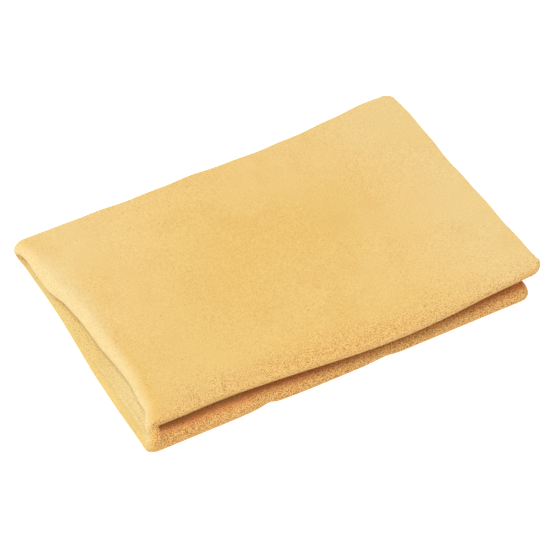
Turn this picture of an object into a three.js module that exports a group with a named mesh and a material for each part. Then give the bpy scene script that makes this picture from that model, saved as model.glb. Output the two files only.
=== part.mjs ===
// A chamois leather, folded in four and lying flat. Millimetres, +Z up, X along the folded length.
// The skin is folded lengthwise first, which leaves two soft rolls along the front edge, and then
// crosswise, which leaves one deep fold of two plies, one inside the other, at the left end. The cut
// edges of the four plies lie at the right and at the back. Each node is one zone between folds.
import * as THREE from 'three';

// The skin, and the space that its plies leave between them
const leatherThickness = 1.6;
const lowerAir = 3.8; // inside the lower half
const upperAir = 3.4; // inside the upper half
const halfGap = 0.4; // between the two halves
const foldGap = 0.3; // cut between two zones along a fold line

// The folded pile seen from above
const foldedLength = 208;
const foldedDepth = 142;
const endFoldDepth = 22; // from the left end to the line where the plies run level
const lowerHalfShort = 9.5; // how far the lower half stops short at the right
const frontSkew = 1.9; // how far the front edge draws back towards the left
const lowerRollDepth = 5;
const upperRollDepth = 6.5;
const upperSetback = 4.1; // upper roll behind the lower one, on average
const upperSwing = 2.1; // how far the upper roll swings about that line
const upperSwingLength = 180;
const upperSwingOffset = 45; // from the left end
const backDip = 1;
const backFlare = 4.2;
const backFlareStart = 63; // from the right edge
const backFlareLength = 50;
const rightWaist = 0.9;
const rightWaistWidth = 110;
const innerEdgeInset = 1; // inner plies stop short of the outer ones at the back
const upperCornerRadius = 6;
const lowerCornerRadius = 4.5;
const backCornerRadius = 5;
const cornerFullness = 0.9; // share of a full quarter circle at a rounded corner

// Swelling of the top ply over the folds, and its sag towards the free corner
const cornerSwell = 1.3;
const cornerSwellWidth = 44;
const endSwell = 0.5;
const endSwellWidth = 40;
const backSag = 0.7;
const backSagReach = 120;

// The end fold: a bulge below, a rim above and a dented recess between them
const bulgeRise = 2.2;
const bulgeEase = 3.6; // how far the bulge draws in towards the back
const bulgeEaseLength = 80;
const heelLength = 3;
const rimDrop = 2.8;
const rimSetback = 3;
const shoulderLength = 2.6;
const crestDraw = 0.7; // a crest lies this far inside the corner that draws it
const rimDent = 6.3;
const rimDentPlace = 40; // deepest place of the dent, from the front
const rimDentBackLength = 75;
const rimDentFrontLength = 26;
const ridgeInset = 0.3;
const ridgeFrontInset = 2.4;
const lowDentDepth = 0.9;
const recessDepth = 2; // under the rim
const recessLeastDepth = 0.6; // behind the ridge
const postBow = 0.6; // outward curve of the plain post at the front corner
const postWidth = 0.5;
const postFade = 10; // over which the creases rise out of the post
const endBackInset = 1.6;
const endCornerRadius = 4;
const endTuck = 3;
const loopInset = 2.4; // turn of the inner ply inside the recess of the outer one
const loopRadius = 1.7;
const loopCorners = 9;

// Facets
const flatSteps = 12;
const cornerSteps = 4;
const quarterSteps = 6;
const bandSteps = 8;
const plySteps = 16;
const rollSteps = 6;

// Heights of the plies, each at the middle of its thickness
const bottomHeight = leatherThickness / 2;
const lowerInnerHeight = bottomHeight + leatherThickness + lowerAir;
const upperInnerHeight = lowerInnerHeight + leatherThickness + halfGap;
const topHeight = upperInnerHeight + leatherThickness + upperAir;

const leftFace = -foldedLength / 2;
const rightFace = foldedLength / 2;
const frontFace = -foldedDepth / 2;
const backFace = foldedDepth / 2;
const foldLine = leftFace + endFoldDepth;
const lowerRight = rightFace - lowerHalfShort;
const endBack = backFace - endBackInset;
const dentMiddle = frontFace + rimDentPlace;
const flareStart = rightFace - backFlareStart;

// The end fold is parted at its bulge and at its rim, where the two halves open from it
const endSpans = 11;
const bulgeStation = 3 / endSpans;
const rimStation = 8 / endSpans;

const { lerp, clamp, smoothstep } = THREE.MathUtils;

// How far a corner of the given radius draws in as v runs up to the end
function roundedCorner(v, end, radius) {
  const share = clamp((v - end + radius) / radius, 0, 1);
  return radius * (1 - Math.sqrt(1 - cornerFullness * share ** 2));
}

// Front noses and back edges of the two halves
function frontLine(x) {
  const share = (lowerRight - x) / (lowerRight - foldLine);
  return frontFace + leatherThickness / 2 + frontSkew * share;
}

function lowerNose(x) {
  return frontLine(x) + roundedCorner(x, lowerRight, lowerCornerRadius);
}

function upperNose(x) {
  const wave = Math.cos((2 * Math.PI * (x - leftFace - upperSwingOffset)) / upperSwingLength);
  const setback = upperSetback + upperSwing * wave;
  return frontLine(x) + setback + roundedCorner(x, rightFace, upperCornerRadius);
}

function backEdge(x, end) {
  const dip = backDip * (1 - smoothstep(x, foldLine, flareStart));
  const flare = backFlare * (1 - smoothstep(x, flareStart, flareStart + backFlareLength));
  return backFace + dip - flare - roundedCorner(x, end, backCornerRadius);
}

function upperRight(y) {
  const share = clamp(y / rightWaistWidth, -0.5, 0.5);
  return rightFace - rightWaist * Math.cos(Math.PI * share) ** 2;
}

// Height of the top ply; the three plies below it run level
function topPly(x, y) {
  const fromEnd = x - leftFace;
  const fromFront = y - frontFace;
  const corner = cornerSwell * Math.exp(-((fromEnd ** 2 + fromFront ** 2) / cornerSwellWidth ** 2));
  const end = endSwell * Math.exp(-((fromEnd / endSwellWidth) ** 2));
  const sagX = smoothstep(x, rightFace - backSagReach, rightFace);
  const sagY = smoothstep(y, backFace - backSagReach, backFace);
  return topHeight + corner + end - backSag * sagX * sagY;
}

// Where the skin turns over at the front and stops at the back, at a station
function edgesAt(station) {
  if (station < 0) {
    const x = lerp(foldLine, lowerRight, -station);
    return { nose: lowerNose(x), depth: lowerRollDepth, back: backEdge(x, lowerRight) };
  }
  if (station > 1) {
    const x = lerp(foldLine, rightFace, station - 1);
    return { nose: upperNose(x), depth: upperRollDepth, back: backEdge(x, rightFace) };
  }
  const climbed = smoothstep(station, 0, 1);
  return {
    nose: lerp(lowerNose(foldLine), upperNose(foldLine), climbed),
    depth: lerp(lowerRollDepth, upperRollDepth, smoothstep(station, rimStation, 1)),
    back: lerp(backEdge(foldLine, rightFace), endBack, Math.sin(Math.PI * station)),
  };
}

// Left ends of the bulge, the creases and the rim of the end fold at one place along Y. The
// creases run out into a plain post at the front corner, and at the cut edge behind.
function endReaches(y) {
  const tuck = (endTuck / endCornerRadius) * roundedCorner(y, endBack, endCornerRadius);
  const eased = smoothstep(y, -bulgeEaseLength / 2, bulgeEaseLength / 2);
  const dentLength = y > dentMiddle ? rimDentBackLength : rimDentFrontLength;
  const dentShare = clamp((y - dentMiddle) / dentLength, -1, 1);
  const dent = Math.cos((Math.PI * dentShare) / 2) ** 2;
  const towardsFront = 1 - smoothstep(y, dentMiddle, dentMiddle + bulgeEaseLength / 2);

  const bulge = leftFace + leatherThickness / 2 + bulgeEase * eased + tuck;
  const rim = leftFace + leatherThickness / 2 + rimSetback + rimDent * dent + tuck;
  const ridge = bulge + ridgeInset + ridgeFrontInset * towardsFront;
  const recess = Math.max(ridge + recessLeastDepth, rim + recessDepth);
  const dented = [bulge + lowDentDepth, ridge, recess, recess];
  const fromCut = 1 - smoothstep(y, endBack - endCornerRadius, endBack);
  const creases = dented.map((crease, i) => {
    const share = (i + 1) / (dented.length + 1);
    const { nose, depth } = edgesAt(lerp(bulgeStation, rimStation, share));
    const postEnd = nose + depth + postWidth;
    const fromPost = smoothstep(y, postEnd, postEnd + postFade);
    const post = lerp(bulge, rim, share) - postBow * Math.sin(Math.PI * share);
    return lerp(post, crease, fromPost * fromCut);
  });
  return { bulge, creases, rim, recess };
}

// Corners of the outer ply's profile across X and Z, from the bottom round the end to the top
function outerEndCorners(y) {
  const { bulge, creases, rim } = endReaches(y);
  const high = topPly(foldLine, y);
  const reaches = [bulge - crestDraw, ...creases, rim - crestDraw];
  const heights = [bottomHeight + bulgeRise, high - rimDrop];
  return [
    [foldLine, bottomHeight],
    [bulge + 2 * heelLength, bottomHeight],
    [bulge + heelLength, bottomHeight],
    ...reaches.map((x, i) => [x, lerp(...heights, i / (reaches.length - 1))]),
    [rim + shoulderLength, high],
    [rim + 2 * shoulderLength, high],
    [foldLine, high],
  ];
}

// Corners of the inner ply's profile: a tight round turn inside the recess of the outer one
function innerEndCorners(y) {
  const middle = (lowerInnerHeight + upperInnerHeight) / 2;
  const centre = endReaches(y).recess + loopInset + loopRadius;
  const loop = Array.from({ length: loopCorners }, (_, i) => {
    const angle = Math.PI * ((i + 1) / (loopCorners + 1) - 0.5);
    return [centre - loopRadius * Math.cos(angle), middle + loopRadius * Math.sin(angle)];
  });
  return [[foldLine, lowerInnerHeight], ...loop, [foldLine, upperInnerHeight]];
}

// Smooth curve drawn by a row of corners, from the first to the last, with share 0 to 1 along it
function alongCorners(corners, share) {
  const spans = corners.length - 1;
  const first = clamp(Math.floor(share * spans), 0, spans - 1);
  const k = share * spans - first;
  const beyond = (end, next) => end.map((v, i) => 2 * v - next[i]);
  const row = [beyond(corners[0], corners[1]), ...corners, beyond(corners[spans], corners[spans - 1])];
  const [a, b, c, d] = row.slice(first, first + 4);
  return [0, 1].map((i) => ((1 - k) ** 3 * a[i] + (3 * k ** 3 - 6 * k ** 2 + 4) * b[i]
    + (-3 * k ** 3 + 3 * k ** 2 + 3 * k + 1) * c[i] + k ** 3 * d[i]) / 6);
}

// X and Z of a ply at a station: -1 to 0 runs along the lower half from its right edge to the fold
// line, 0 to 1 round the end fold, and 1 to 2 along the upper half to its right edge
function plyAt(station, y, inner) {
  if (station < 0) {
    const x = lerp(foldLine, lowerRight, -station);
    return [x, inner ? lowerInnerHeight : bottomHeight];
  }
  if (station > 1) {
    const x = lerp(foldLine, upperRight(y), station - 1);
    return [x, inner ? upperInnerHeight : topPly(x, y)];
  }
  return alongCorners(inner ? innerEndCorners(y) : outerEndCorners(y), station);
}

// A point in the middle of the leather. The outer ply runs from the back edge to the front roll,
// the roll turns over at the nose, and the inner ply runs back again.
function skinPoint(station, zone, share) {
  const { nose, depth, back } = edgesAt(station);
  const turn = nose + depth;
  if (zone === 'roll') {
    const angle = lerp(1, -1, share) * (Math.PI / 2 - foldGap / 2 / depth);
    const outer = plyAt(station, turn, false);
    const inner = plyAt(station, turn, true);
    const across = (1 + Math.sin(angle)) / 2;
    return new THREE.Vector3(
      lerp(inner[0], outer[0], across),
      turn - depth * Math.cos(angle),
      lerp(inner[1], outer[1], across),
    );
  }
  const front = turn + foldGap / 2;
  const y = zone === 'outer' ? lerp(back, front, share) : lerp(front, back - innerEdgeInset, share);
  const [x, z] = plyAt(station, y, zone === 'inner');
  return new THREE.Vector3(x, y, z);
}

const nudge = 1e-4;

function skinNormal(station, zone, share) {
  const along = skinPoint(station + nudge, zone, share).sub(skinPoint(station - nudge, zone, share));
  const across = skinPoint(station, zone, share + nudge).sub(skinPoint(station, zone, share - nudge));
  if (station < 0 || station > 1) along.y = 0;
  return across.cross(along).normalize();
}

// One zone of the skin as a closed solid of the leather's thickness. Each row has a station, and
// the side on which half of the cut along a fold line is left free.
function skinZone(name, rows, zone, steps) {
  const half = leatherThickness / 2;
  const positions = [];
  for (const side of [half, -half]) {
    for (const { station, free } of rows) {
      for (let column = 0; column <= steps; column += 1) {
        const evenly = column / steps;
        const share = zone === 'roll' ? evenly : (1 - Math.cos(Math.PI * evenly)) / 2;
        const step = skinPoint(station + nudge, zone, share).distanceTo(skinPoint(station, zone, share));
        const place = station + (free * foldGap * nudge) / (2 * step);
        const normal = skinNormal(place, zone, share);
        positions.push(...skinPoint(place, zone, share).addScaledVector(normal, side));
      }
    }
  }
  const width = steps + 1;
  const layer = rows.length * width;
  const index = [];
  const quad = (a, b, c, d) => index.push(a, b, c, a, c, d);
  for (let row = 0; row < rows.length - 1; row += 1) {
    for (let column = 0; column < steps; column += 1) {
      const corner = row * width + column;
      quad(corner, corner + 1, corner + width + 1, corner + width);
      quad(corner + layer, corner + layer + width, corner + layer + width + 1, corner + layer + 1);
    }
    const start = row * width;
    const end = start + steps;
    quad(start, start + width, start + width + layer, start + layer);
    quad(end, end + layer, end + layer + width, end + width);
  }
  const lastRow = (rows.length - 1) * width;
  for (let column = 0; column < steps; column += 1) {
    quad(column, column + layer, column + layer + 1, column + 1);
    const far = lastRow + column;
    quad(far, far + 1, far + layer + 1, far + layer);
  }
  const geometry = new THREE.BufferGeometry();
  geometry.setAttribute('position', new THREE.Float32BufferAttribute(positions, 3));
  geometry.setIndex(index);
  geometry.computeVertexNormals();
  const chamois = new THREE.MeshStandardMaterial({ color: 0xefca7c, roughness: 0.95, metalness: 0 });
  const mesh = new THREE.Mesh(geometry, chamois);
  mesh.name = name;
  return mesh;
}

// Shares of a half's length from the fold line to its right edge, closer together at the corner
function halfShares(end, radius) {
  const length = end - foldLine;
  const shares = [];
  for (let i = 0; i < flatSteps; i += 1) {
    shares.push(((length - radius) / length) * (i / flatSteps));
  }
  for (let i = 0; i <= cornerSteps; i += 1) {
    shares.push((length - radius + radius * Math.sin((Math.PI * i) / (2 * cornerSteps))) / length);
  }
  return shares;
}

const fullRow = (station) => ({ station, free: 0 });
const between = (from, to, steps) => (
  Array.from({ length: steps + 1 }, (_, i) => fullRow(lerp(from, to, i / steps)))
);

const lowerRows = [
  ...halfShares(lowerRight, lowerCornerRadius).reverse().slice(0, -1).map((share) => fullRow(-share)),
  ...between(0, bulgeStation, quarterSteps),
];
const bandRows = between(bulgeStation, rimStation, bandSteps);
const upperRows = [
  ...between(rimStation, 1, quarterSteps),
  ...halfShares(rightFace, upperCornerRadius).slice(1).map((share) => fullRow(1 + share)),
];
lowerRows.at(-1).free = -1;
bandRows[0].free = 1;
bandRows.at(-1).free = -1;
upperRows[0].free = 1;

const leather = new THREE.Group();
leather.add(
  skinZone('bottom_panel', lowerRows, 'outer', plySteps),
  skinZone('lower_front_fold', lowerRows, 'roll', rollSteps),
  skinZone('lower_inner_panel', lowerRows, 'inner', plySteps),
  skinZone('outer_end_fold', bandRows, 'outer', plySteps),
  skinZone('corner_fold', bandRows, 'roll', rollSteps),
  skinZone('inner_end_fold', bandRows, 'inner', plySteps),
  skinZone('upper_inner_panel', upperRows, 'inner', plySteps),
  skinZone('upper_front_fold', upperRows, 'roll', rollSteps),
  skinZone('top_panel', upperRows, 'outer', plySteps),
);

export default leather;
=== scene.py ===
import math
import bpy
import numpy as np
from mathutils import Matrix, Vector


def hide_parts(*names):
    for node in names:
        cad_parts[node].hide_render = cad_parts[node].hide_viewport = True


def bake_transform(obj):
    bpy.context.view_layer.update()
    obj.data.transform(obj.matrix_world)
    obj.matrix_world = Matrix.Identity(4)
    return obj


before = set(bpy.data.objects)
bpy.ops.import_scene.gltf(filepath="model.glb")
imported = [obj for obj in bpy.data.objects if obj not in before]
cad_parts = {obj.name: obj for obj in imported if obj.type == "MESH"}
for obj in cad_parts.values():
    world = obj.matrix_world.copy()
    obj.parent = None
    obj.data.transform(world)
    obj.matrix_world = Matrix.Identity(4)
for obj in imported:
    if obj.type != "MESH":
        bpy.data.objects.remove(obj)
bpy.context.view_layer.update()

# The lower half of the chamois: one oil-tanned skin, doubled lengthwise so that its front edge is a
# soft roll, with the cut edges of both plies at the back and at the right. At the left it climbs
# the bulge of the end fold, which the crosswise folding left there. Sizes are in millimetres.
leather = 1.6
lower_air, upper_air, half_gap = 3.8, 3.4, 0.4
length, depth_over_all = 208.0, 142.0
left_face, right_face = -length / 2, length / 2
front_face, back_face = -depth_over_all / 2, depth_over_all / 2
fold_line = left_face + 22.0
lower_right = right_face - 9.5
end_back = back_face - 1.6

bottom_height = leather / 2
lower_inner_height = bottom_height + leather + lower_air
upper_inner_height = lower_inner_height + leather + half_gap
top_height = upper_inner_height + leather + upper_air

# The end fold joins the two halves, so the whole skin is drawn here as one surface
lower_roll, upper_roll = 5.0, 1.4
end_spans = 11
bulge_station, rim_station = 3 / end_spans, 8 / end_spans
dent_middle = front_face + 40.0


def eased(v, low, high):
    """Smooth step from 0 at low to 1 at high."""
    k = np.clip((v - low) / (high - low), 0, 1)
    return k * k * (3 - 2 * k)


def drawn_in(v, end, radius):
    """How far a rounded corner draws in as v runs up to the end."""
    k = np.clip((v - end + radius) / radius, 0, 1)
    return radius * (1 - np.sqrt(1 - 0.9 * k ** 2))


def hand_cut(v, start):
    """Small waves of an edge that was cut by hand."""
    return 0.28 * np.sin(v / 9.1 + start) + 0.16 * np.sin(v / 3.9 + 2.3 * start)


def front_line(x):
    """Straight line that the front edges follow, a little askew."""
    askew = 1.9
    return front_face + leather / 2 + askew * (lower_right - x) / (lower_right - fold_line)


def lower_nose(x):
    """Front of the lower roll, with the small dents that show along its foot."""
    set_back, corner_radius = 0.5, 4.5
    dents = 0.0
    for middle, depth, before, behind in ((-43.0, 0.6, 13.0, 13.0),
                                          (-41.5, 1.2, 5.0, 2.2),
                                          (18.0, 0.8, 8.0, 4.0)):
        dents = dents + depth * np.exp(-((x - middle) / np.where(x < middle, before, behind)) ** 2)
    return front_line(x) + set_back + dents + drawn_in(x, lower_right, corner_radius)


def upper_nose(x):
    """Front of the upper edge, which swings in one long wave behind the lower roll."""
    set_back, wave_height, wave_length, corner_radius = 3.5, 2.9, 180, 6.0
    wave = wave_height * np.cos(2 * math.pi * (x - left_face - 41) / wave_length)
    swing = set_back + wave - 0.9 * eased(x, 65, 100)
    return front_line(x) + swing + drawn_in(x, right_face, corner_radius)


def back_edge(x, end):
    """Cut edge at the back, which flares out towards the right."""
    flare_start, corner_radius = right_face - 63, 5.0
    dip = 1.0 * (1 - eased(x, fold_line, flare_start))
    flare = 4.2 * (1 - eased(x, flare_start, flare_start + 50))
    return back_face + dip - flare - drawn_in(x, end, corner_radius)


def upper_right(y):
    """Cut edge of the upper half at the right, bowed in at its middle."""
    bow = 0.9
    return right_face - bow * np.cos(math.pi * np.clip(y / 110, -0.5, 0.5)) ** 2


def top_ply(x, y):
    """Height of the face that shows: it swells over the folds, sags towards the free corner and
    undulates a little, as limp leather does."""
    corner = 1.3 * np.exp(-((x - left_face) ** 2 + (y - front_face) ** 2) / 44 ** 2)
    end = 0.5 * np.exp(-((x - left_face) / 40) ** 2)
    sag = 0.7 * eased(x, right_face - 120, right_face) * eased(y, back_face - 120, back_face)
    slow_waves = 0.10 * np.sin(x / 13 + 0.6 * np.sin(y / 19)) * np.sin(y / 16 + 0.8)
    small_waves = 0.06 * np.sin((x + 0.7 * y) / 7.5) * np.sin((0.6 * x - y) / 9.5)
    return top_height + corner + end - sag + slow_waves + small_waves


def raised(x):
    """How much the inner plies rise towards the end fold, where the lower half is fuller."""
    return 1.3 * (1 - eased(x, fold_line - 8, fold_line + 50))


def edges_at(station):
    """Nose and depth of the front roll and the back edge, at a place along the skin: -1 to 0 is the
    lower half from its right edge, 0 to 1 goes round the end and 1 to 2 is the upper half."""
    if station < 0:
        x = fold_line + (lower_right - fold_line) * -station
        return lower_nose(x), lower_roll, back_edge(x, lower_right)
    if station > 1:
        x = fold_line + (right_face - fold_line) * (station - 1)
        return upper_nose(x), upper_roll, back_edge(x, right_face)
    low, high = lower_nose(fold_line), upper_nose(fold_line)
    back = back_edge(fold_line, right_face)
    post_pinch = 1.6 * eased(station, 0.02, 0.25) * (1 - eased(station, 0.78, 1))
    return (low + (high - low) * eased(station, 0.45, 0.8),
            lower_roll + (upper_roll - lower_roll) * eased(station, 0.5, 1) - post_pinch,
            back + (end_back - back) * math.sin(math.pi * station))


def end_reaches(y):
    """Left ends of the bulge, the creases and the rim of the end fold, and of its recess, at places
    along Y. The rim is dented in, most deeply a little behind the front corner."""
    skin_middle = left_face + leather / 2
    tuck = 0.75 * drawn_in(y, end_back, 4.0)
    bulge = skin_middle + 3.6 * eased(y, -40, 40) + 0.4 * (1 - eased(y, -30, -10)) + tuck
    dent_behind = 6.3 * np.cos(math.pi / 2 * np.clip((y - dent_middle) / 75.0, 0, 1)) ** 2
    dent_before = (4.7 + 1.6 * eased(y, -50, dent_middle)) * eased(y, -62, -50)
    dent = np.where(y > dent_middle, dent_behind, dent_before)
    back_turn = 2.2 * eased(y, -12, 16) * (1 - eased(y, 24, 38))
    back_corner = 2.0 * eased(y, 57, 68)
    rim = skin_middle + 3.0 + dent + back_turn - back_corner + tuck
    ridge = bulge + 0.3 + 4.0 * (1 - eased(y, dent_middle, dent_middle + 40))
    recess = np.maximum(ridge + 0.6, rim + 0.7 + 1.2 * eased(y, -5, 40))
    recess = recess + 2.5 * eased(y, end_back - 14, end_back - 4)
    creases = []
    for i, crease in enumerate([bulge + 0.9, ridge, recess, recess]):
        share = (i + 1) / 5
        nose, depth, _ = edges_at(bulge_station + (rim_station - bulge_station) * share)
        from_post = eased(y, nose + depth - 3, nose + depth + 7)
        from_cut = 1 - eased(y, end_back - 6.5, end_back - 1.5)
        post = bulge + (rim - bulge) * share - 0.6 * math.sin(math.pi * share)
        creases.append(post + (crease - post) * from_post * from_cut)
    return bulge, creases, rim, recess


def outer_corners(y):
    """The outer ply goes round the bulge, over the ridge, into the recess and over the rim."""
    bulge, creases, rim, _ = end_reaches(y)
    high = top_ply(fold_line, y)
    flat = np.full_like(y, bottom_height)
    line = np.full_like(y, fold_line)
    reaches = [bulge - 0.7, *creases, rim - 0.7]
    droop = eased(y, 58, 68)
    low_height, rim_height = bottom_height + 2.2, high - 2.8 - 0.8 * droop
    rising = [(x, low_height + (rim_height - low_height) * (i / 5) ** (1 + 0.35 * droop))
              for i, x in enumerate(reaches)]
    return np.array([(line, flat), (bulge + 6, flat), (bulge + 3, flat), *rising,
                     (rim + 2.6, high), (rim + 5.2, high), (line, high)])


def inner_corners(y):
    """The inner ply makes a tight turn of its own inside the recess of the outer one."""
    turn_radius, inside_recess = 1.7, 3.2
    inside_post = left_face + 7.4
    middle = (lower_inner_height + upper_inner_height) / 2 + raised(fold_line - 8)
    nose, depth, _ = edges_at(0.5)
    from_post = eased(y, nose + depth, nose + depth + 14)
    recess = end_reaches(y)[3]
    centre = turn_radius + inside_post + (recess + inside_recess - inside_post) * from_post
    angles = [math.pi * ((i + 1) / 10 - 0.5) for i in range(9)]
    loop = [(centre - turn_radius * math.cos(a), np.full_like(y, middle + turn_radius * math.sin(a)))
            for a in angles]
    line = np.full_like(y, fold_line)
    return np.array([(line, np.full_like(y, lower_inner_height + raised(fold_line))), *loop,
                     (line, np.full_like(y, upper_inner_height + raised(fold_line)))])


def along(corners, share):
    """Smooth curve drawn by a row of corners, with share 0 to 1 from the first to the last."""
    spans = len(corners) - 1
    row = np.concatenate([2 * corners[:1] - corners[1:2], corners,
                          2 * corners[-1:] - corners[-2:-1]])
    first = min(max(int(share * spans), 0), spans - 1)
    k = share * spans - first
    a, b, c, d = row[first:first + 4]
    return ((1 - k) ** 3 * a + (3 * k ** 3 - 6 * k ** 2 + 4) * b
            + (-3 * k ** 3 + 3 * k ** 2 + 3 * k + 1) * c + k ** 3 * d) / 6


def ply_at(station, y, inner):
    """Place along X and height of the outer ply, or of the inner one where inner is 1."""
    if station < 0:
        end = lower_right + hand_cut(y, 0.4 + inner) - 0.8 * inner
        x = fold_line + (end - fold_line) * -station
        return x, lower_inner_height + raised(x) if inner else np.full_like(y, bottom_height)
    if station > 1:
        end = upper_right(y) + hand_cut(y, 2.7 + inner) - 0.9 * inner
        x = fold_line + (end - fold_line) * (station - 1)
        return x, upper_inner_height + raised(x) if inner else top_ply(x, y)
    return along(inner_corners(y) if inner else outer_corners(y), station)


# Places across the skin: from the back over the outer ply, round the roll, and back on the inner
outer_shares = (1 - np.cos(np.linspace(0, math.pi, 121))) / 2
roll_angles = np.linspace(math.pi / 2, -math.pi / 2, 31)[1:-1]
inner_shares = (1 - np.cos(np.linspace(0, math.pi, 71))) / 2
roll_start = len(outer_shares)
inner_start = roll_start + len(roll_angles)


def skin_row(station):
    """Middle of the skin's thickness at one place along it, from the outer cut edge to the inner."""
    half_run, end_run = 190, 45
    if station < 0:
        run = station * half_run
    elif station < 1:
        run = station * end_run
    else:
        run = end_run + (station - 1) * half_run
    nose, depth, back = edges_at(station)
    turn = nose + depth
    outer_back = back + hand_cut(run, 1.0)
    inner_back = back - 1.0 + hand_cut(run, 3.0)
    outer_y = outer_back + (turn - outer_back) * outer_shares
    inner_y = turn + (inner_back - turn) * inner_shares
    outer_x, outer_z = ply_at(station, outer_y, 0)
    inner_x, inner_z = ply_at(station, inner_y, 1)
    pressed = 2.2 * eased(station, -0.02, 0.16) + 0.7 * eased(station, 0.55, 0.9)
    inner_z = inner_z + pressed * (1 - eased(inner_y - turn, 0, 34))
    across = (1 + np.sin(roll_angles)) / 2
    roll_x = inner_x[0] + (outer_x[-1] - inner_x[0]) * across
    roll_z = inner_z[0] + (outer_z[-1] - inner_z[0]) * across
    roll_y = turn - depth * np.cos(roll_angles)
    return np.stack([np.concatenate([outer_x, roll_x, inner_x]),
                     np.concatenate([outer_y, roll_y, inner_y]),
                     np.concatenate([outer_z, roll_z, inner_z])], axis=1)


# Places along the skin, closer together at the right edges and round the end
to_edge = np.sin(np.linspace(0, math.pi / 2, 121))
stations = np.concatenate([-to_edge[:0:-1], np.linspace(0, 1, 161), 1 + to_edge[1:]])
skin = np.array([skin_row(s) for s in stations])
skin_along = np.gradient(skin, axis=0)
skin_across = np.gradient(skin, axis=1)
skin_normal = np.cross(skin_across, skin_along)
skin_normal /= np.linalg.norm(skin_normal, axis=2, keepdims=True)
middle_row = int(np.argmin(np.abs(stations - 0.5)))
outer, roll = slice(0, roll_start), slice(roll_start, inner_start)

# Sharp little creases run along the slope between the bulge and the recess, to the front corner
crease_width = 0.02
for crease_station, crease_height, crease_end in ((0.36, 0.25, -24),
                                                  (0.41, 0.70, 4),
                                                  (0.50, 0.25, -14)):
    crease_share = eased(skin[:, outer, 1], -62, -55)
    crease_share *= 1 - eased(skin[:, outer, 1], crease_end - 22, crease_end)
    from_crease = (stations[:, None] - crease_station) / crease_width
    lip = np.exp(-((from_crease - 1) ** 2)) - 0.7 * np.exp(-((from_crease + 0.6) ** 2))
    rise = crease_height * lip * crease_share
    skin[:, outer] += skin_normal[:, outer] * rise[..., None]

# Tones of the surface per point: grain of the open nap; warm tone, which is yellow below 0, orange
# from 0 to 1 (partly the nap's own tone, partly painted shade) and painted red-brown shade above 1;
# and pale rubbing, partly painted light. First the inner plies, warm near the rolls, with painted
# red-brown shade there inside the mouth.
face_x, face_y = skin[:, outer, 0], skin[:, outer, 1]
from_turn = skin[:, :, 1] - skin[:, roll_start - 1:roll_start, 1]
near_roll = 1 - eased(from_turn, 0, 13)
grain = 0.35 + 0.25 * near_roll
# Near the rolls the inner plies carry painted red-brown shade, inside the mouth.
warm_and_shaded = 0.3 + 1.2 * near_roll

# On the top face the nap opens up towards the front edge
upwards = eased(stations, 0.8, 1.0)[:, None]
to_right = eased(face_x, 20, 90)
face_from_turn = from_turn[:, outer]
open_front = (0.6 - 0.2 * to_right) * (1 - eased(face_from_turn + 5 * to_right, -2, 19))
warm_front = 0.31 * (1 - eased(face_from_turn, -2, 26)) * (1 - 0.5 * to_right)
warm_edge = 0.22 * (1 - eased(face_from_turn, -2, 8))
grain[:, outer] = 0.12 + upwards * open_front
warm_and_shaded[:, outer] = upwards * (warm_front + warm_edge)

# The end fold is yellower below its rim; under the rim it carries painted orange-brown shade, and in
# the slit at the back painted shade with deeper nap shadows.
recessed = (eased(stations, 0.36, 0.46) * (1 - eased(stations, 0.66, 0.74)))[:, None]
below_rim = (eased(stations, 0.2, 0.3) * (1 - eased(stations, 0.60, 0.70)))[:, None]
under_rim = (eased(stations, 0.54, 0.63) * (1 - eased(stations, 0.68, 0.73)))[:, None]
in_slit = eased(face_y, 52, 62)
# The deeper nap shadows in the slit at the back are painted shade.
grain[:, outer] += recessed * (0.08 + 0.20 * eased(face_y, -40, 0) + 0.5 * in_slit)
# Painted orange-brown shade under the rim and painted dark shade in the slit; the yellower tone
# below the rim is the nap's own.
warm_and_shaded[:, outer] += 0.55 * under_rim * eased(face_y, -30, 5) - 0.4 * below_rim
warm_and_shaded[:, outer] += 0.8 * recessed * in_slit

# The rolls are rough in front, orange there (partly painted shade), with painted red-brown shade
# towards the mouth, and the corner's post is plain
roll_turned = 1 - (roll_angles / (math.pi / 2) + 1) / 2
facing_out = 1 - eased(roll_turned, 0.4, 0.75)
at_end = (eased(stations, 0.02, 0.32) * (1 - eased(stations, 0.8, 1.0)))[:, None]
from_rim = skin[:, roll, 0] - left_face - 2.2 * eased(stations, 0.45, 0.7)[:, None]
post_share = at_end * (1 - eased(from_rim, 2.0, 5.2))
post_grain = 0.3
grain[:, roll] = 1.2 - 0.6 * eased(roll_turned, 0.80, 1.0) - 0.55 * upwards * facing_out
grain[:, roll] -= post_share * (grain[:, roll] - post_grain)
# Values above 1 paint red-brown shade on the rolls towards the mouth; the front-facing orange is
# partly painted shade.
warm_and_shaded[:, roll] = 1.06 + 0.44 * eased(roll_turned, 0.68, 1.0) - 0.42 * upwards * facing_out
warm_and_shaded[:, roll] *= 1 - post_share

# The rim is rubbed pale and carries a painted highlight; the recess, the slope below the rim, the
# outer parts of the top face and the lip of the upper roll are painted lighter, as painted light
rubbed_and_lit = np.zeros(skin.shape[:2])
rim_width = 0.12 * eased(face_y, -60, 30) * (1 - 0.8 * eased(face_y, 42, 66))
on_rim = eased(stations, 0.66, 0.72)[:, None]
on_rim = on_rim * (1 - eased(stations[:, None] - rim_width, 0.72, 0.88))
# Painted light: the top face is paler towards the right and the back.
top_painted_light = (0.23 * eased(np.abs(face_x), 10, 80)
               + 0.20 * eased(face_x, 50, 104)
               + 0.16 * eased(face_y, 20, 71)
               + 0.11 * (1 - eased(face_x, -90, -30)) * eased(face_y, 25, 60))
rubbed_and_lit[:, outer] = 0.9 * on_rim + upwards * top_painted_light
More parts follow.
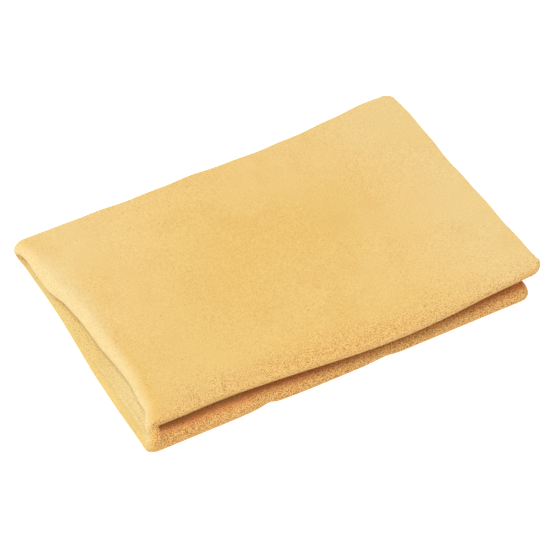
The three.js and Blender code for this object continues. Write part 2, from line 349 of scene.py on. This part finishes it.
# Painted light below the rim and in the recess, lightening their shade.
rubbed_and_lit[:, outer] += 0.24 * below_rim * (1 - 0.4 * eased(face_y, -30, 10))
rubbed_and_lit[:, outer] += 0.55 * recessed * (1 - 0.7 * eased(face_y, -45, 0))
roll_front = eased(roll_turned, 0.05, 0.25) * (1 - eased(roll_turned, 0.4, 0.6))
rubbed_and_lit[:, roll] = rubbed_and_lit[:, roll_start - 1:roll_start] * (1 - eased(roll_turned, 0, 0.35))
# Painted light on the lip of the upper roll, offsetting its shade.
rubbed_and_lit[:, roll] += 0.15 * upwards * roll_front
nap_tones_and_light = np.stack([grain, warm_and_shaded, rubbed_and_lit], axis=-1)


def chamois_material():
    """Oil-tanned suede: buff yellow with soft mottling, a short nap with shadows between its fibres,
    sparse dark specks, yellower and orange tones, the orange partly painted shade, red-brown painted
    shade in the mouth, paler, rubbed fibres along the rim with a painted highlight, and painted
    light in the recess, on the lip and on the outer parts of the top face."""
    material = bpy.data.materials.new("chamois")
    material.use_nodes = True
    nodes, links = material.node_tree.nodes, material.node_tree.links
    shader = nodes["Principled BSDF"]
    place = nodes.new("ShaderNodeAttribute")
    place.attribute_name = "place"
    tones_and_light = nodes.new("ShaderNodeAttribute")
    tones_and_light.attribute_name = "nap_tones_and_light"
    parts = nodes.new("ShaderNodeSeparateXYZ")
    links.new(tones_and_light.outputs["Vector"], parts.inputs["Vector"])
    open_nap, warmth_and_shade, rubbing_and_light = parts.outputs["X"], parts.outputs["Y"], parts.outputs["Z"]

    def joined(values):
        for socket, value in values:
            if hasattr(value, "is_linked"):
                links.new(value, socket)
            else:
                socket.default_value = value

    def noise(scale, detail, roughness=0.5):
        n = nodes.new("ShaderNodeTexNoise")
        joined([(n.inputs["Vector"], place.outputs["Vector"]), (n.inputs["Scale"], scale),
                (n.inputs["Detail"], detail), (n.inputs["Roughness"], roughness)])
        return n.outputs["Fac"]

    def ramp(value, low, high):
        r = nodes.new("ShaderNodeMapRange")
        joined([(r.inputs["Value"], value), (r.inputs["From Min"], low),
                (r.inputs["From Max"], high)])
        return r.outputs["Result"]

    def mixed(share, first, second):
        m = nodes.new("ShaderNodeMix")
        m.data_type = "RGBA"
        joined([(m.inputs["Factor"], share), (m.inputs["A"], first), (m.inputs["B"], second)])
        return m.outputs["Result"]

    def maths(operation, *values):
        m = nodes.new("ShaderNodeMath")
        m.operation = operation
        joined(zip(m.inputs, values))
        return m.outputs["Value"]

    buff = (0.588, 0.384, 0.110, 1)
    pale = (0.605, 0.416, 0.147, 1)
    deep = (0.575, 0.352, 0.095, 1)
    orange = (0.70, 0.405, 0.118, 1)
    straw = (0.63, 0.525, 0.285, 1)
    yellow = (0.51, 0.415, 0.115, 1)
    tip = (0.67, 0.48, 0.20, 1)
    brown = (0.32, 0.10, 0.024, 1)
    russet = (0.64, 0.16, 0.045, 1)
    broad_mottling = ramp(noise(16, 3), 0.36, 0.68)
    small_mottling = maths("MULTIPLY", ramp(noise(60, 4), 0.48, 0.72), 0.6)
    colour = mixed(broad_mottling, buff, pale)
    colour = mixed(small_mottling, colour, deep)
    colour = mixed(ramp(warmth_and_shade, 0.0, -1.0), colour, yellow)
    # Orange: partly the nap's own tone, partly painted shade on the front faces.
    colour = mixed(maths("MULTIPLY", warmth_and_shade, 0.82), colour, orange)
    # Russet: painted red-brown shade in the mouth under the upper roll.
    colour = mixed(maths("MULTIPLY", ramp(warmth_and_shade, 1.0, 1.5), 0.65), colour, russet)
    # Straw: pale rubbed fibres, and painted light on the rim, the recess, the lip and the outer top
    # face.
    colour = mixed(maths("MULTIPLY", rubbing_and_light, 0.82), colour, straw)
    nap = noise(2100, 2, 0.6)
    hollow_depth = maths("MULTIPLY_ADD", open_nap, 0.98, 0.18)
    hollows = maths("MULTIPLY", ramp(nap, 0.49, 0.64), hollow_depth)
    colour = mixed(hollows, colour, brown)
    tip_height = maths("MULTIPLY_ADD", open_nap, 0.60, 0.24)
    tips = maths("MULTIPLY", ramp(nap, 0.48, 0.34), tip_height)
    colour = mixed(tips, colour, tip)
    cells = nodes.new("ShaderNodeTexVoronoi")
    joined([(cells.inputs["Vector"], place.outputs["Vector"]), (cells.inputs["Scale"], 130)])
    specks = maths("MULTIPLY", ramp(cells.outputs["Distance"], 0.055, 0.025), 0.5)
    colour = mixed(specks, colour, brown)
    links.new(colour, shader.inputs["Base Color"])

    nap_height = maths("MULTIPLY", nap, maths("MULTIPLY_ADD", open_nap, 1.2, 0.5))
    pebble_height = maths("MULTIPLY", noise(420, 2), 0.6)
    bump = nodes.new("ShaderNodeBump")
    bump.inputs["Strength"].default_value = 0.6
    bump.inputs["Distance"].default_value = 0.0003
    links.new(maths("ADD", nap_height, pebble_height), bump.inputs["Height"])
    links.new(bump.outputs["Normal"], shader.inputs["Normal"])
    shader.inputs["Roughness"].default_value = 0.95
    shader.inputs["Specular IOR Level"].default_value = 0.12
    shader.inputs["Sheen Weight"].default_value = 0.22
    shader.inputs["Sheen Roughness"].default_value = 0.45
    shader.inputs["Sheen Tint"].default_value = (1.0, 0.90, 0.68, 1)
    return material


chamois = chamois_material()


def skin_piece(name, first_row, last_row):
    """A stretch of the skin as a closed sheet of even thickness, with rounded cut edges."""
    half, edge_fullness, edge_rubbing = leather / 2, 0.75, 0.12
    edge_angles = np.radians([40, 90, 140])
    stretch = slice(first_row, last_row + 1)
    rows, columns = last_row + 1 - first_row, skin.shape[1]
    points = skin[stretch].reshape(-1, 3)
    normals = skin_normal[stretch].reshape(-1, 3)
    tones_and_light = nap_tones_and_light[stretch].reshape(-1, 3)

    # The cut edges look outwards, at the back and at the right, and the seam in the end fold doesn't
    outwards = np.zeros((rows, columns, 3))
    outwards[:, 0] -= skin_across[stretch, 0]
    outwards[:, -1] += skin_across[stretch, -1]
    outwards /= np.maximum(np.linalg.norm(outwards, axis=2, keepdims=True), 1e-9)
    for row, way in ((0, -1), (rows - 1, 1)):
        if first_row + row != middle_row:
            ends = way * skin_along[first_row + row]
            outwards[row] += ends / np.linalg.norm(ends, axis=1, keepdims=True)
    outwards /= np.maximum(np.linalg.norm(outwards, axis=2, keepdims=True), 1)

    # Upper side, three rings round the edge, and under side
    grid = np.arange(rows * columns).reshape(rows, columns)
    around = np.concatenate([grid[0, :-1], grid[:-1, -1], grid[-1, :0:-1], grid[:0:-1, 0]])
    edge_outwards = edge_fullness * outwards.reshape(-1, 3)[around]
    edge_tones_and_light = tones_and_light[around] + np.array([0.0, 0.0, edge_rubbing])
    layers, layer_tones_and_light = [points + normals * half], [tones_and_light]
    rings = [around]
    for i, angle in enumerate(edge_angles):
        lean = normals[around] * math.cos(angle) + edge_outwards * math.sin(angle)
        layers.append(points[around] + half * lean)
        layer_tones_and_light.append(edge_tones_and_light)
        rings.append(rows * columns + i * len(around) + np.arange(len(around)))
    under_start = rows * columns + len(edge_angles) * len(around)
    layers.append(points - normals * half)
    layer_tones_and_light.append(tones_and_light)
    rings.append(around + under_start)
    vertices = np.concatenate(layers) / 1000

    a, b, c, d = grid[:-1, :-1], grid[:-1, 1:], grid[1:, 1:], grid[1:, :-1]
    faces = [np.stack([a, b, c, d], axis=-1).reshape(-1, 4),
             np.stack([a, d, c, b], axis=-1).reshape(-1, 4) + under_start]
    for upper, lower in zip(rings, rings[1:]):
        faces.append(np.stack([upper, lower, np.roll(lower, -1), np.roll(upper, -1)], axis=1))
    mesh = bpy.data.meshes.new(name)
    mesh.from_pydata(vertices.tolist(), [], np.concatenate(faces).tolist())
    mesh.polygons.foreach_set("use_smooth", [True] * len(mesh.polygons))
    mesh.set_sharp_from_angle(angle=math.radians(60))
    for attribute, values in (("place", vertices), ("nap_tones_and_light", np.concatenate(layer_tones_and_light))):
        mesh.attributes.new(attribute, "FLOAT_VECTOR", "POINT")
        mesh.attributes[attribute].data.foreach_set("vector", values.astype(np.float32).ravel())
    mesh.materials.append(chamois)
    piece = bpy.data.objects.new(name, mesh)
    bpy.context.collection.objects.link(piece)
    return piece


lower_skin = skin_piece("lower_skin", 0, middle_row)
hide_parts("bottom_panel", "lower_front_fold", "lower_inner_panel",
            "outer_end_fold", "corner_fold", "inner_end_fold")
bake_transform(lower_skin)

# The upper half of the chamois: the other half of the same skin, turned over on to the lower one.
# It comes down over the rim of the end fold, and its free edges reach past the lower half.
upper_skin = skin_piece("upper_skin", middle_row, len(stations) - 1)
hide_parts("upper_inner_panel", "upper_front_fold", "top_panel")
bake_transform(upper_skin)

# The studio: a plain white table that is lit from below too, as for shadowless pictures, a broad
# soft light above, towards the left, and weak ones low at the left and in front. Sizes from here
# on are in metres.
table_reach = 3
table_corners = [(-table_reach, -table_reach, 0), (table_reach, -table_reach, 0),
                 (table_reach, table_reach, 0), (-table_reach, table_reach, 0)]
table_mesh = bpy.data.meshes.new("table")
table_mesh.from_pydata(table_corners, [], [(0, 1, 2, 3)])
table_white = bpy.data.materials.new("table_white")
table_white.use_nodes = True
white_shader = table_white.node_tree.nodes["Principled BSDF"]
white_shader.inputs["Base Color"].default_value = (0.6, 0.6, 0.6, 1)
white_shader.inputs["Roughness"].default_value = 0.9
white_shader.inputs["Emission Color"].default_value = (1, 1, 1, 1)
white_shader.inputs["Emission Strength"].default_value = 0.8
table_mesh.materials.append(table_white)
table = bpy.data.objects.new("table", table_mesh)
bpy.context.collection.objects.link(table)


def soft_light(name, place, size, power):
    """A square light that looks at the middle of the table."""
    light = bpy.data.lights.new(name, "AREA")
    light.size = size
    light.energy = power
    lamp = bpy.data.objects.new(name, light)
    lamp.location = place
    lamp.rotation_euler = (-Vector(place)).to_track_quat("-Z", "Y").to_euler()
    bpy.context.collection.objects.link(lamp)


soft_light("window", place=(-0.64, 0.35, 2.3), size=2.2, power=62.5)
soft_light("left_fill", place=(-1.6, -0.3, 0.5), size=1.0, power=6.0)
soft_light("front_fill", place=(1.0, -1.2, 1.5), size=1.0, power=9)
world = bpy.data.worlds.new("room")
world.use_nodes = True
room_light = world.node_tree.nodes["Background"]
room_light.inputs["Color"].default_value = (1, 1, 1, 1)
room_light.inputs["Strength"].default_value = 0.50
bpy.context.scene.world = world
bpy.context.scene.view_settings.view_transform = "Standard"

# The camera stands at the front left, well above the table, as the photograph was taken. Its long
# lens is given in pixels of the photograph's frame, and it aims close to the middle of the pile.
azimuth, elevation = math.radians(-29.54), math.radians(46.04)
distance = 1.366
sensor_width, lens_in_pixels, frame_in_pixels = 36, 2931, 550
right = Vector((math.cos(azimuth), math.sin(azimuth), 0))
ahead = Vector((-math.sin(azimuth) * math.cos(elevation), math.cos(azimuth) * math.cos(elevation),
                -math.sin(elevation)))
up = right.cross(ahead)
aim = Vector((0.0010, 0.002375, 0)) - right * 0.00094 - up * 0.00031
camera_data = bpy.data.cameras.new("camera")
camera_data.lens = sensor_width * lens_in_pixels / frame_in_pixels
camera = bpy.data.objects.new("camera", camera_data)
facing = Matrix((right, up, -ahead)).transposed().to_4x4()
camera.matrix_world = Matrix.Translation(aim - ahead * distance) @ facing
bpy.context.collection.objects.link(camera)
bpy.context.scene.camera = camera
